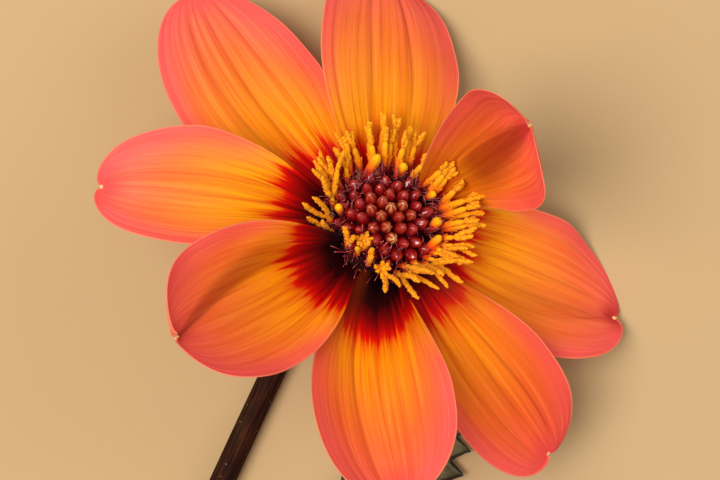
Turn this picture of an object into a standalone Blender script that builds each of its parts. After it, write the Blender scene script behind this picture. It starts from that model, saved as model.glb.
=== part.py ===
"""Cut dahlia flower, single-flowered, lying on a flat surface.

The stem lies along -X and bends up at its neck, so the flower head faces up and leans a little
away from the stem.  The head is eight ray florets (the petals) round a disc of small florets,
backed by an involucre of bracts.  One toothed leaf grows from the stem's node.

Metres, +Z up.  The head has its own frame: its origin is the centre of the disc, its +Z is the
flower's axis, and azimuths are counted from +X, which points away from the stem.
"""

from collections import namedtuple
from math import cos, pi, radians, sin, sqrt

import bmesh
import bpy
from mathutils import Matrix, Vector

MM = 0.001

# ---- driving dimensions ------------------------------------------------------------------------
HEAD_HEIGHT = 19.6 * MM         # disc centre above the surface that the flower lies on
HEAD_LEAN = radians(20)         # flower axis from the vertical, away from the stem
PETAL_THICKNESS = 0.5 * MM
PETAL_BASE_RADIUS = 9.0 * MM    # where a ray floret leaves the receptacle
PETAL_BASE_DROP = 1.0 * MM      # how far below the disc centre it does so
STEM_LENGTH = 128.0 * MM        # from under the head to the cut end
STEM_SIDE = 6.6 * MM            # the lying stem passes this far beside the head's centre
STEM_RADIUS = 2.1 * MM
STEM_CUT_RADIUS = 2.4 * MM
NODE_DISTANCE = 97.0 * MM       # the leaf's node, from under the head
GAP = 0.3 * MM                  # left between pieces that touch

# ---- ray florets -------------------------------------------------------------------------------
# Lengths are in millimetres and angles in degrees.  Each pair is the value at the base and at
# the tip.  lift is the slope above the disc's plane, sweep is how far the petal turns sideways
# along its length, cup is how far its cross-section curls, and twist raises its left margin.
Petal = namedtuple("Petal", "azimuth length half_width lift sweep cup twist widest claw bluntness")

RAY_FLORETS = (
    Petal(75, 43.5, 13.0, (-6, 8), -28, (24, 6), (-1, 2), 0.50, 0.22, 2.15),
    Petal(23, 39.5, 13.2, (15, -23), 1, (25, 6), (11, 22), 0.52, 0.30, 1.95),
    Petal(-35, 33.5, 10.4, (54, 89), -60, (18, 18), (44, 58), 0.75, 0.14, 2.40),
    Petal(-83, 40.0, 12.4, (-15, -30), 9, (16, 12), (7, -15), 0.57, 0.28, 1.90),
    Petal(-124, 41.5, 10.8, (2, -40), 21, (40, 17), (-3, 8), 0.57, 0.22, 2.15),
    Petal(-165, 41.0, 11.8, (23, 4), 25, (10, 29), (-11, 0), 0.63, 0.22, 2.05),
    Petal(151, 42.0, 13.6, (20, 46), 1, (80, 30), (-19, -7), 0.56, 0.22, 2.35),
    Petal(112, 40.0, 11.2, (32, -19), -3, (41, 35), (26, -6), 0.58, 0.22, 1.95),
)
PETAL_ROWS = 13
PETAL_COLUMNS = 7
PETAL_TIP = 0.997               # the last row, just short of where the outline closes

# ---- receptacle and disc -----------------------------------------------------------------------
RECEPTACLE_RADIUS = 8.6 * MM
RECEPTACLE_HALF_HEIGHT = 3.2 * MM
RECEPTACLE_DROP = 2.6 * MM      # its centre below the disc centre
BUD_DOME_RADIUS = 7.0 * MM
BUD_DOME_HEIGHT = 5.0 * MM
BUD_COUNT = 44
BUD_RADIUS = 1.15 * MM
GOLDEN_ANGLE = radians(137.5)

# ---- disc florets in bloom ---------------------------------------------------------------------
OPEN_FLORETS = 24
OPEN_FLORET_RADIUS = 7.6 * MM
OPENING_FLORETS = 8
OPENING_FLORET_RADIUS = 6.2 * MM

# ---- bracts ------------------------------------------------------------------------------------
OUTER_BRACTS = 5
OUTER_BRACT_LENGTH = 11.0 * MM
OUTER_BRACT_HALF_WIDTH = 2.3 * MM
INNER_BRACT_REACH = 0.19        # share of the ray floret that each inner bract backs
INNER_BRACT_BELOW = 0.9 * MM
INNER_BRACT_HALF_WIDTH = 2.7 * MM
BRACT_THICKNESS = 0.5 * MM

# ---- leaf --------------------------------------------------------------------------------------
LEAF_HALF_WIDTH = 10.0 * MM
LEAF_THICKNESS = 0.7 * MM
PETIOLE_RADIUS = 1.2 * MM
PETIOLE_SHARE = 0.28            # of the leaf's whole length
TOOTH_PITCH = 4.0 * MM
TOOTH_DEPTH = 1.6 * MM

COLOURS = {
    "ray_petal": ((0.85, 0.20, 0.06), 0.50),
    "disc_bud": ((0.22, 0.015, 0.012), 0.30),
    "disc_floret": ((0.90, 0.36, 0.04), 0.60),
    "receptacle": ((0.10, 0.11, 0.03), 0.60),
    "bract": ((0.16, 0.17, 0.05), 0.55),
    "stem": ((0.075, 0.035, 0.020), 0.50),
    "leaf": ((0.075, 0.080, 0.035), 0.60),
}


def mix(ends, share):
    """A value part of the way between a pair of ends."""
    return ends[0] + (ends[1] - ends[0]) * share


def material(slot):
    """The Principled material of one slot, made once."""
    found = bpy.data.materials.get(slot)
    if found:
        return found
    colour, roughness = COLOURS[slot]
    made = bpy.data.materials.new(slot)
    made.use_nodes = True
    shader = made.node_tree.nodes["Principled BSDF"]
    shader.inputs["Base Color"].default_value = (*colour, 1.0)
    shader.inputs["Roughness"].default_value = roughness
    shader.inputs["Metallic"].default_value = 0.0
    return made


def add_object(name, mesh_builder, slot):
    """Turn a bmesh into a named, smooth-shaded object with its own material."""
    bmesh.ops.recalc_face_normals(mesh_builder, faces=mesh_builder.faces)
    mesh = bpy.data.meshes.new(name)
    mesh_builder.to_mesh(mesh)
    mesh_builder.free()
    mesh.shade_smooth()
    mesh.set_sharp_from_angle(angle=radians(50))
    mesh.materials.append(material(slot))
    piece = bpy.data.objects.new(name, mesh)
    bpy.context.collection.objects.link(piece)
    return piece


# ---- solids from points ------------------------------------------------------------------------
def sheet_solid(name, grid, thickness, slot):
    """A closed sheet: the grid's surface, moved half the thickness out to each side."""
    rows = len(grid)
    columns = len(grid[0])
    builder = bmesh.new()
    sides = []
    for direction in (0.5, -0.5):
        layer = []
        for i in range(rows):
            line = []
            for j in range(columns):
                along = grid[min(i + 1, rows - 1)][j] - grid[max(i - 1, 0)][j]
                across = grid[i][min(j + 1, columns - 1)] - grid[i][max(j - 1, 0)]
                normal = along.cross(across).normalized()
                line.append(builder.verts.new(grid[i][j] + normal * (thickness * direction)))
            layer.append(line)
        sides.append(layer)
    for layer in sides:
        for i in range(rows - 1):
            for j in range(columns - 1):
                builder.faces.new((layer[i][j], layer[i + 1][j], layer[i + 1][j + 1], layer[i][j + 1]))
    rim = [(i, 0) for i in range(rows)]
    rim += [(rows - 1, j) for j in range(1, columns)]
    rim += [(i, columns - 1) for i in range(rows - 2, -1, -1)]
    rim += [(0, j) for j in range(columns - 2, 0, -1)]
    for here, there in zip(rim, rim[1:] + rim[:1]):
        upper, lower = sides
        builder.faces.new((upper[here[0]][here[1]], upper[there[0]][there[1]],
                           lower[there[0]][there[1]], lower[here[0]][here[1]]))
    return add_object(name, builder, slot)


def tube_solid(name, centres, radii, sides, slot, first_cut=None):
    """A tube with closed ends along a path; first_cut slants the first ring, in degrees."""
    builder = bmesh.new()
    side = Vector((0, 1, 0))
    rings = []
    for i, (centre, radius) in enumerate(zip(centres, radii)):
        ahead = (centres[min(i + 1, len(centres) - 1)] - centres[max(i - 1, 0)]).normalized()
        side = (side - ahead * side.dot(ahead)).normalized()
        up = ahead.cross(side)
        ring = []
        for k in range(sides):
            angle = 2 * pi * k / sides
            point = centre + side * (radius * cos(angle)) + up * (radius * sin(angle))
            if first_cut and i == 0:
                point += ahead * (radius * sin(angle) * sin(radians(first_cut)))
            ring.append(builder.verts.new(point))
        rings.append(ring)
    for ring, after in zip(rings, rings[1:]):
        for k in range(sides):
            m = (k + 1) % sides
            builder.faces.new((ring[k], ring[m], after[m], after[k]))
    builder.faces.new(rings[0])
    builder.faces.new(rings[-1])
    return add_object(name, builder, slot)


def dome_solid(name, upper, lower, radius, rings, segments, slot):
    """A closed round cap between two height functions of a place in the disc's plane."""
    builder = bmesh.new()
    layers = []
    for height in (upper, lower):
        pole = builder.verts.new((0, 0, height(0, 0)))
        layer = [[pole] * segments]
        for i in range(1, rings + 1):
            r = radius * i / rings
            ring = []
            for k in range(segments):
                x = r * cos(2 * pi * k / segments)
                y = r * sin(2 * pi * k / segments)
                ring.append(builder.verts.new((x, y, height(x, y))))
            layer.append(ring)
        layers.append(layer)
    for layer in layers:
        for i in range(rings):
            for k in range(segments):
                m = (k + 1) % segments
                if i == 0:
                    builder.faces.new((layer[0][0], layer[1][k], layer[1][m]))
                else:
                    builder.faces.new((layer[i][k], layer[i + 1][k], layer[i + 1][m], layer[i][m]))
    top = layers[0][rings]
    bottom = layers[1][rings]
    for k in range(segments):
        m = (k + 1) % segments
        builder.faces.new((top[k], top[m], bottom[m], bottom[k]))
    return add_object(name, builder, slot)


# ---- the flower head ---------------------------------------------------------------------------
def petal_width(petal, u):
    """Half the width at a share u of the length, as a share of the widest half-width."""
    if u < petal.widest:
        return petal.claw + (1 - petal.claw) * sin(pi / 2 * u / petal.widest) ** 1.2
    past = (u - petal.widest) / (1 - petal.widest)
    return (1 - past ** petal.bluntness) ** (1 / petal.bluntness)


def petal_centreline(petal, u, steps=80):
    """Place and direction of a petal's midrib at a share u of its length, from its base."""
    azimuth = radians(petal.azimuth)
    radius = PETAL_BASE_RADIUS
    place = Vector((radius * cos(azimuth), radius * sin(azimuth), -PETAL_BASE_DROP))
    step = petal.length * MM * u / steps
    for i in range(steps):
        place = place + petal_heading(petal, u * (i + 0.5) / steps) * step
    return place, petal_heading(petal, u)


def petal_heading(petal, u):
    """The direction in which a petal's midrib runs at a share u of its length."""
    lift = radians(mix(petal.lift, u))
    turn = radians(petal.azimuth + petal.sweep * u)
    return Vector((cos(lift) * cos(turn), cos(lift) * sin(turn), sin(lift)))


def petal_grid(petal, shares, spread, below=0.0):
    """Rows of points across a petal; spread holds places from -1, right margin, to 1, left."""
    grid = []
    for u in shares:
        place, ahead = petal_centreline(petal, u)
        turn = radians(petal.azimuth + petal.sweep * u)
        level = Vector((-sin(turn), cos(turn), 0))
        twist = radians(mix(petal.twist, u))
        across = level * cos(twist) + ahead.cross(level) * sin(twist)
        out = ahead.cross(across)
        cup = radians(mix(petal.cup, u))
        curl = petal.half_width * MM * petal_width(petal, u) / cup
        row = []
        for v in spread:
            x = (curl + below) * sin(cup * v)
            z = curl - (curl + below) * cos(cup * v)
            row.append(place + across * x + out * z)
        grid.append(row)
    return grid


def even_spread(count):
    """Places from one margin to the other."""
    return [-1 + 2 * j / (count - 1) for j in range(count)]


def build_ray_florets():
    """The eight petals.

    Each lies over its anticlockwise neighbour.  The first is the lowest, the seventh the highest.
    """
    pieces = []
    shares = [PETAL_TIP * (1 - (1 - i / (PETAL_ROWS - 1)) ** 1.5) for i in range(PETAL_ROWS)]
    for number, petal in enumerate(RAY_FLORETS, 1):
        grid = petal_grid(petal, shares, even_spread(PETAL_COLUMNS))
        pieces.append(sheet_solid(f"ray_floret_{number}", grid, PETAL_THICKNESS, "ray_petal"))
    return pieces


def build_inner_bracts():
    """One thin bract under the base of each ray floret, following its underside."""
    pieces = []
    shares = [INNER_BRACT_REACH * i / 5 for i in range(6)]
    taper = (0.80, 0.95, 1.0, 0.92, 0.70, 0.25)
    for number, petal in enumerate(RAY_FLORETS, 1):
        grid = []
        for u, share in zip(shares, taper):
            reach = INNER_BRACT_HALF_WIDTH * share / (petal.half_width * MM * petal_width(petal, u))
            spread = [reach * v for v in even_spread(5)]
            grid += petal_grid(petal, [u], spread, INNER_BRACT_BELOW)
        pieces.append(sheet_solid(f"inner_bract_{number}", grid, BRACT_THICKNESS, "bract"))
    return pieces


def receptacle_height(radius, up=1):
    """Height of the receptacle's surface over a radius from the axis, in the head's frame."""
    inside = max(0.0, 1 - (radius / RECEPTACLE_RADIUS) ** 2)
    return -RECEPTACLE_DROP + up * RECEPTACLE_HALF_HEIGHT * sqrt(inside)


def build_receptacle():
    """The squat swollen stem end that carries every floret and bract."""
    builder = bmesh.new()
    bmesh.ops.create_uvsphere(builder, u_segments=24, v_segments=12, radius=RECEPTACLE_RADIUS)
    squash = Vector((1, 1, RECEPTACLE_HALF_HEIGHT / RECEPTACLE_RADIUS))
    bmesh.ops.scale(builder, vec=squash, verts=builder.verts)
    bmesh.ops.translate(builder, vec=(0, 0, -RECEPTACLE_DROP), verts=builder.verts)
    return add_object("receptacle", builder, "receptacle")


def bud_places():
    """Centres of the closed buds, set out on the spiral in which they grow."""
    places = []
    for k in range(BUD_COUNT):
        r = (BUD_DOME_RADIUS - BUD_RADIUS * 0.8) * sqrt((k + 0.5) / BUD_COUNT)
        places.append((r * cos(k * GOLDEN_ANGLE), r * sin(k * GOLDEN_ANGLE)))
    return places


def build_disc_buds():
    """The closed buds of the disc, crowded into one knobbly dome."""
    places = bud_places()

    def upper(x, y):
        radius = sqrt(x * x + y * y)
        dome = BUD_DOME_HEIGHT * (1 - 0.62 * (radius / BUD_DOME_RADIUS) ** 2)
        nearest = min((x - a) ** 2 + (y - b) ** 2 for a, b in places)
        bump = max(0.0, 1 - nearest / BUD_RADIUS ** 2)
        return dome + BUD_RADIUS * 0.9 * sqrt(bump)

    def lower(x, y):
        return receptacle_height(sqrt(x * x + y * y)) + GAP

    return dome_solid("disc_buds", upper, lower, BUD_DOME_RADIUS, 14, 40, "disc_bud")


def floret_path(azimuth, radius, length, start, finish, base):
    """A slender floret's centreline: it leaves at one slope and bends outward to another."""
    steps = 7
    place = Vector((radius, 0, base))
    path = [place.copy()]
    for i in range(steps):
        slope = radians(mix((start, finish), (i + 0.5) / steps))
        place += Vector((cos(slope), 0, sin(slope))) * (length / steps)
        path.append(place.copy())
    turned = Matrix.Rotation(azimuth, 3, "Z")
    return [turned @ point for point in path]


def petal_rise(azimuth):
    """The slope, in degrees, at the base of the petal nearest to an azimuth."""
    nearest = max(RAY_FLORETS, key=lambda petal: cos(radians(petal.azimuth) - azimuth))
    return nearest.lift[0]


def build_open_florets():
    """The disc's outer ring in bloom: corolla tube, column of anthers and forked style."""
    pieces = []
    radii = [r * MM for r in (0.35, 0.45, 0.55, 0.75, 0.50, 0.45, 0.60, 0.25)]
    for k in range(OPEN_FLORETS):
        azimuth = 2 * pi * k / OPEN_FLORETS
        length = (9.6 + 0.9 * sin(2.4 * k)) * MM
        finish = max(34 + 12 * cos(1.7 * k), petal_rise(azimuth) + 14)
        base = receptacle_height(OPEN_FLORET_RADIUS) + 0.5 * MM
        path = floret_path(azimuth, OPEN_FLORET_RADIUS, length, 86, finish, base)
        pieces.append(tube_solid(f"disc_floret_{k + 1:02d}", path, radii, 6, "disc_floret"))
    return pieces


def build_opening_florets():
    """Florets just opening between the buds and the ring in bloom, nearly upright."""
    pieces = []
    radii = [r * MM for r in (0.40, 0.50, 0.60, 0.62, 0.45, 0.42, 0.50, 0.22)]
    for k in range(OPENING_FLORETS):
        azimuth = 2 * pi * (k + 0.5) / OPENING_FLORETS
        base = BUD_DOME_HEIGHT + 0.6 * MM
        path = floret_path(azimuth, OPENING_FLORET_RADIUS, 3.0 * MM, 80, 60, base)
        pieces.append(tube_solid(f"opening_floret_{k + 1}", path, radii, 6, "disc_floret"))
    return pieces


def build_outer_bracts():
    """Five narrow green bracts that spread and bend back behind the head."""
    pieces = []
    rows = 7
    widths = (0.70, 0.95, 1.0, 0.92, 0.75, 0.50, 0.16)
    for number in range(OUTER_BRACTS):
        azimuth = 2 * pi * number / OUTER_BRACTS
        place = Vector((7.9 * MM, 0, -4.5 * MM))
        grid = []
        for i in range(rows):
            slope = radians(mix((-8, -46), i / (rows - 1)))
            ahead = Vector((cos(slope), 0, sin(slope)))
            half = OUTER_BRACT_HALF_WIDTH * widths[i]
            fold = Vector((-sin(slope), 0, cos(slope)))
            grid.append([place + Vector((0, half * v, 0)) + fold * (0.25 * half * v * v)
                         for v in even_spread(5)])
            place = place + ahead * (OUTER_BRACT_LENGTH / (rows - 1))
        turned = Matrix.Rotation(azimuth, 3, "Z")
        grid = [[turned @ point for point in row] for row in grid]
        pieces.append(sheet_solid(f"outer_bract_{number + 1}", grid, BRACT_THICKNESS, "bract"))
    return pieces


# ---- stem and leaf -----------------------------------------------------------------------------
def bezier(points, t):
    """A point on the Bezier curve through the first and last of its points."""
    while len(points) > 1:
        points = [a.lerp(b, t) for a, b in zip(points, points[1:])]
    return points[0]


def build_stem(head):
    """The lying stem with its node and cut end, and the neck that bends up to the head."""
    axis = head.to_3x3() @ Vector((0, 0, 1))
    top = head @ Vector((0, 0, receptacle_height(0, -1) - GAP - 0.05 * MM))
    neck = Vector((-30 * MM, STEM_SIDE, STEM_RADIUS))
    centres = []
    radii = []
    straight = 26
    for i in range(straight):
        share = i / straight
        x = -STEM_LENGTH + (STEM_LENGTH - 30 * MM) * share
        radius = mix((STEM_CUT_RADIUS, STEM_RADIUS), share)
        from_node = (x + NODE_DISTANCE) / (3.2 * MM)
        radius += 0.7 * MM / (1 + from_node ** 4)
        centres.append(Vector((x, STEM_SIDE - 1.2 * MM * (1 - share) ** 2, radius)))
        radii.append(radius)
    handles = [neck, neck + Vector((16 * MM, 0, 0)), top - axis * (8 * MM), top]
    bends = 12
    for i in range(bends + 1):
        share = i / bends
        centres.append(bezier(handles, share))
        radii.append(STEM_RADIUS * (1 - 0.12 * sin(pi * share)) + 0.9 * MM * share ** 6)
    return tube_solid("stem", centres, radii, 12, "stem", first_cut=25)


def leaf_axis(share):
    """Place of the leaf's midrib at a share of its length: out from the node, then along it."""
    route = [Vector((-96, 1.4, 2.6)), Vector((-62, -24, 0.6)), Vector((-11, -24, 0.45))]
    return bezier(route, share) * MM


def leaf_half_width(share):
    """Half the leaf's width: a thin stalk, then an egg-shaped blade that runs to a point."""
    blade = max(0.0, (share - PETIOLE_SHARE) / (1 - PETIOLE_SHARE))
    outline = sin(pi * blade ** 0.78) ** 0.85 if 0 < blade < 1 else 0.0
    return max(PETIOLE_RADIUS, LEAF_HALF_WIDTH * outline)


def tooth(distance):
    """How far the margin is cut in: teeth that point to the leaf's tip."""
    phase = (distance / TOOTH_PITCH) % 1.0
    return TOOTH_DEPTH * (1 - phase) if phase > 0.25 else TOOTH_DEPTH * 0.75 * (phase / 0.25)


def build_leaf():
    """The leaf: a stalk that spreads into a toothed blade, lying on the surface."""
    rows = 46
    grid = []
    travelled = 0.0
    before = leaf_axis(0)
    for i in range(rows):
        share = i / (rows - 1)
        centre = leaf_axis(share)
        travelled += (centre - before).length
        before = centre
        ahead = (leaf_axis(min(1, share + 0.01)) - leaf_axis(max(0, share - 0.01))).normalized()
        across = Vector((-ahead.y, ahead.x, 0)).normalized()
        full = leaf_half_width(share)
        cut = tooth(travelled) * min(1.0, max(0.0, (full - PETIOLE_RADIUS) / (4 * MM)))
        half = max(0.5 * MM, full - cut)
        row = []
        for v in even_spread(7):
            rise = 0.16 * abs(v) * (full - PETIOLE_RADIUS)
            wave = 0.5 * MM * abs(v) ** 3 * (1 + sin(9 * share * pi))
            row.append(centre + across * (half * v) + Vector((0, 0, rise + wave)))
        grid.append(row)
    return sheet_solid("leaf", grid, LEAF_THICKNESS, "leaf")


def stand_on_origin(pieces):
    """Move everything so the middle of its box is over the origin and its lowest point is at 0."""
    points = [piece.matrix_world @ vertex.co for piece in pieces for vertex in piece.data.vertices]
    low = Vector([min(point[axis] for point in points) for axis in range(3)])
    high = Vector([max(point[axis] for point in points) for axis in range(3)])
    shift = Vector(((low.x + high.x) / 2, (low.y + high.y) / 2, low.z))
    for piece in pieces:
        piece.matrix_world = Matrix.Translation(-shift) @ piece.matrix_world


def main():
    for old in list(bpy.data.objects):
        bpy.data.objects.remove(old, do_unlink=True)
    head = Matrix.Translation((0, 0, HEAD_HEIGHT)) @ Matrix.Rotation(HEAD_LEAN, 4, "Y")
    head_pieces = [build_receptacle(), build_disc_buds()]
    head_pieces += build_ray_florets()
    head_pieces += build_inner_bracts()
    head_pieces += build_outer_bracts()
    head_pieces += build_open_florets()
    head_pieces += build_opening_florets()
    for piece in head_pieces:
        piece.matrix_world = head
    pieces = head_pieces + [build_stem(head), build_leaf()]
    bpy.context.view_layer.update()
    stand_on_origin(pieces)


main()
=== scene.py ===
"""Looks of the cut single dahlia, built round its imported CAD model.

Metres, +Z up, in the CAD's frame.  The flower head has its own frame: its origin is the centre
of the disc, its +Z is the flower's axis, and azimuths are counted from +X.
"""

from collections import namedtuple
from math import cos, degrees, exp, pi, radians, sin, sqrt

import bpy
import numpy as np
from mathutils import Matrix, Vector


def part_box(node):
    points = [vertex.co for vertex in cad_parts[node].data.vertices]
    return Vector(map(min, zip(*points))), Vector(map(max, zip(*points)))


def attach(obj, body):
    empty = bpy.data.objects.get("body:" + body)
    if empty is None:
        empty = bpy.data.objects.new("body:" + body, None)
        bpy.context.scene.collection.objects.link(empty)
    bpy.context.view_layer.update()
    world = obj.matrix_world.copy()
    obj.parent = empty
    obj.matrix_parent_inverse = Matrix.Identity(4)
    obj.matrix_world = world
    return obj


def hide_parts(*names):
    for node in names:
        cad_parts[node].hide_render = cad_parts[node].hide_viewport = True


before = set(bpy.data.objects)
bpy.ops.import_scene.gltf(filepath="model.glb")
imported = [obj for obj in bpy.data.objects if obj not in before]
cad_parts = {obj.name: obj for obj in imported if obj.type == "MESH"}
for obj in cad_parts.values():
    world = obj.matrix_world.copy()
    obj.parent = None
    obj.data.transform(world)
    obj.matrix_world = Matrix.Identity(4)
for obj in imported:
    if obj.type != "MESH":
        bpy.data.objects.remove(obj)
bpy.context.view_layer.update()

MM = 0.001
SEED = 20

# ---- the CAD's driving dimensions --------------------------------------------------------------
HEAD_HEIGHT = 19.6 * MM
HEAD_LEAN = radians(20)
PETAL_BASE_RADIUS = 9.0 * MM
PETAL_BASE_DROP = 1.0 * MM
STEM_LENGTH = 128.0 * MM
STEM_SIDE = 6.6 * MM
STEM_RADIUS = 2.1 * MM
STEM_CUT_RADIUS = 2.4 * MM
NODE_DISTANCE = 97.0 * MM
RECEPTACLE_RADIUS = 8.6 * MM
RECEPTACLE_HALF_HEIGHT = 3.2 * MM
RECEPTACLE_DROP = 2.6 * MM
BUD_DOME_RADIUS = 7.0 * MM
BUD_DOME_HEIGHT = 5.0 * MM
GOLDEN_ANGLE = radians(137.5)
OPEN_FLORETS = 24
OPEN_FLORET_RADIUS = 7.6 * MM
INNER_BRACT_REACH = 0.19
INNER_BRACT_BELOW = 0.9 * MM
INNER_BRACT_HALF_WIDTH = 2.7 * MM
OUTER_BRACTS = 5
OUTER_BRACT_LENGTH = 11.0 * MM
OUTER_BRACT_HALF_WIDTH = 2.3 * MM
LEAF_HALF_WIDTH = 10.0 * MM
PETIOLE_RADIUS = 1.2 * MM
PETIOLE_SHARE = 0.28
TOOTH_PITCH = 4.0 * MM
TOOTH_DEPTH = 1.6 * MM

# The petals as in the CAD.  Lengths are in millimetres and angles in degrees.  Each pair is the
# value at the base and at the tip.
Petal = namedtuple("Petal", "azimuth length half_width lift sweep cup twist widest claw bluntness")

RAY_FLORETS = (
    Petal(75, 43.5, 13.0, (-6, 8), -28, (24, 6), (-1, 2), 0.50, 0.22, 2.15),
    Petal(23, 39.5, 13.2, (15, -23), 1, (25, 6), (11, 22), 0.52, 0.30, 1.95),
    Petal(-35, 33.5, 10.4, (54, 89), -60, (18, 18), (44, 58), 0.75, 0.14, 2.40),
    Petal(-83, 40.0, 12.4, (-15, -30), 9, (16, 12), (7, -15), 0.57, 0.28, 1.90),
    Petal(-124, 41.5, 10.8, (2, -40), 21, (40, 17), (-3, 8), 0.57, 0.22, 2.15),
    Petal(-165, 41.0, 11.8, (23, 4), 25, (10, 29), (-11, 0), 0.63, 0.22, 2.05),
    Petal(151, 42.0, 13.6, (20, 46), 1, (80, 30), (-19, -7), 0.56, 0.22, 2.35),
    Petal(112, 40.0, 11.2, (32, -19), -3, (41, 35), (26, -6), 0.58, 0.22, 1.95),
)

# How each petal looks.  red is the share of the length that its dark base takes, slant is how much
# more it takes towards the left margin, and arch how much less at both margins.  notch is how deep
# the tip is cut in (mm) and grow lengthens the petal.  blush is how pink the tip is, and pit how
# much painted shade darkens its notch.  deep is how deep the gold is, partly a deeper hue and
# partly painted shade on the petals that lie in the shade, and how much painted shade darkens the
# base.  shade is how much painted shade darkens the right and left margins, towards brown.  Each
# side is a widening, an extra curl in degrees and the fullness of its base (lower is fuller; the
# CAD has 1.2).
Look = namedtuple("Look", "red slant arch notch grow blush pit deep shade right left folds")

# A lengthwise fold: its place across (-1 right margin, 1 left), depth and width in mm, the share
# of the length where it ends (1 runs into the notch), how dark the painted shade along its line is,
# and how wide, as a share of half the width, and how dark the painted shadow band on its right is
# (on its left, if negative).
Fold = namedtuple("Fold", "place depth width end line band shadow")

LOOKS = (
    Look(0.20, 0.04, 0.10, 0.8, 1.00, 0.2, 0.0, 0.15, (0.16, 0.0), (1.0, 0, 0.9), (1.0, 0, 0.9),
         (Fold(-0.42, 0.35, 0.9, 0.97, 0.45, 0, 0), Fold(-0.06, 0.35, 0.8, 0.96, 0.5, 0, 0),
          Fold(0.30, 0.35, 0.9, 0.97, 0.5, 0, 0))),
    Look(0.11, 0.0, 0.0, 0.8, 1.00, 0.3, 0.0, 0.2, (0.36, 0.0), (1.0, 0, 0.75), (1.0, 0, 0.8),
         (Fold(-0.36, 0.40, 0.9, 0.97, 0.6, 0, 0), Fold(0.24, 0.40, 0.9, 0.97, 0.4, 0, 0))),
    Look(0.10, 0.0, 0.0, 1.2, 1.00, 0.3, 0.3, 0.6, (0.10, 0.50), (1.08, 16, 0.85), (1.02, 0, 0.75),
         (Fold(0.38, 0.75, 1.0, 1.0, 1.0, 1.45, 1.0),)),
    Look(0.15, 0.0, 0.0, 1.6, 1.01, 0.4, 0.9, 0.35, (0.0, 0.0), (1.0, 0, 0.8), (1.04, 0, 0.58),
         (Fold(-0.48, 0.55, 1.0, 1.0, 0.65, -0.7, 0.34), Fold(0.20, 0.15, 1.0, 0.9, 0.2, 0, 0))),
    Look(0.235, 0.0, 0.08, 1.2, 1.01, 0.4, 0.1, 0.78, (0.0, 0.30), (1.0, 0, 0.75), (1.0, 0, 1.1),
         (Fold(-0.30, 0.30, 0.9, 0.96, 0.2, 0, 0), Fold(0.02, 0.20, 1.0, 0.80, 0.4, 0, 0),
          Fold(0.34, 0.30, 0.9, 0.96, 0.6, 0, 0))),
    Look(0.32, -0.03, 0.15, 1.0, 1.00, 0.4, 0.1, 0.65, (0.38, 0.0), (1.0, 0, 1.1), (1.0, 0, 0.8),
         (Fold(-0.34, 0.40, 0.9, 0.97, 0.6, 0, 0), Fold(0.30, 0.30, 0.9, 0.96, 0.3, 0, 0))),
    Look(0.255, 0.0, 0.03, 1.6, 1.02, 0.15, 0.5, 0.45, (0.0, 0.0), (1.0, 0, 0.9), (1.0, 0, 0.85),
         (Fold(-0.32, 0.90, 1.2, 1.0, 1.0, 0.62, 0.62),)),
    Look(0.26, 0.02, 0.03, 1.2, 1.02, 0.4, 0.0, 0.0, (0.0, 0.0), (1.0, 0, 0.9), (1.0, 0, 1.1),
         (Fold(-0.30, 0.18, 1.1, 0.9, 0.15, 0, 0), Fold(0.25, 0.18, 1.1, 0.9, 0.15, 0, 0))),
)
CLAW_MORE = 0.07                # how much wider than in the CAD a full petal's base is

# ---- resolution --------------------------------------------------------------------------------
PETAL_ROWS = 110
PETAL_COLUMNS = 97
ROW_CROWDING = 1.7              # how much closer together the rows are towards the tip
LAST_ROW = 0.99995              # just short of the tip, where the width is nothing


# ---- numbers -----------------------------------------------------------------------------------
def srgb(red, green, blue):
    """A screen colour, 0 to 255, as the linear colour that a shader takes."""
    def linear(value):
        value /= 255
        return value / 12.92 if value < 0.04045 else ((value + 0.055) / 1.055) ** 2.4
    return (linear(red), linear(green), linear(blue), 1.0)


def mix(ends, share):
    """A value part of the way between a pair of ends."""
    return ends[0] + (ends[1] - ends[0]) * share


def smooth(low, high, value):
    """0 below low, 1 above high, and an even turn between."""
    share = np.clip((value - low) / (high - low), 0.0, 1.0)
    return share * share * (3 - 2 * share)


def unit(vectors):
    """Vectors along the last axis, scaled to length 1."""
    return vectors / np.maximum(np.linalg.norm(vectors, axis=-1, keepdims=True), 1e-12)


def turned(points, azimuth):
    """Points turned round +Z."""
    c, s = cos(azimuth), sin(azimuth)
    points = np.asarray(points)
    return np.stack([points[..., 0] * c - points[..., 1] * s,
                     points[..., 0] * s + points[..., 1] * c,
                     points[..., 2]], -1)


# ---- the head's frame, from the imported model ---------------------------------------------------
def head_frame():
    """The matrix that takes the head's own frame to the CAD's."""
    low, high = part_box("receptacle")
    lean = Matrix.Rotation(HEAD_LEAN, 4, "Y")
    axis = lean.to_3x3() @ Vector((0, 0, 1))
    return Matrix.Translation((low + high) / 2 + axis * RECEPTACLE_DROP) @ lean


HEAD = head_frame()
HEAD_CENTRE = HEAD.translation.copy()
GROUND = Matrix.Translation(HEAD_CENTRE - Vector((0, 0, HEAD_HEIGHT)))


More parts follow.
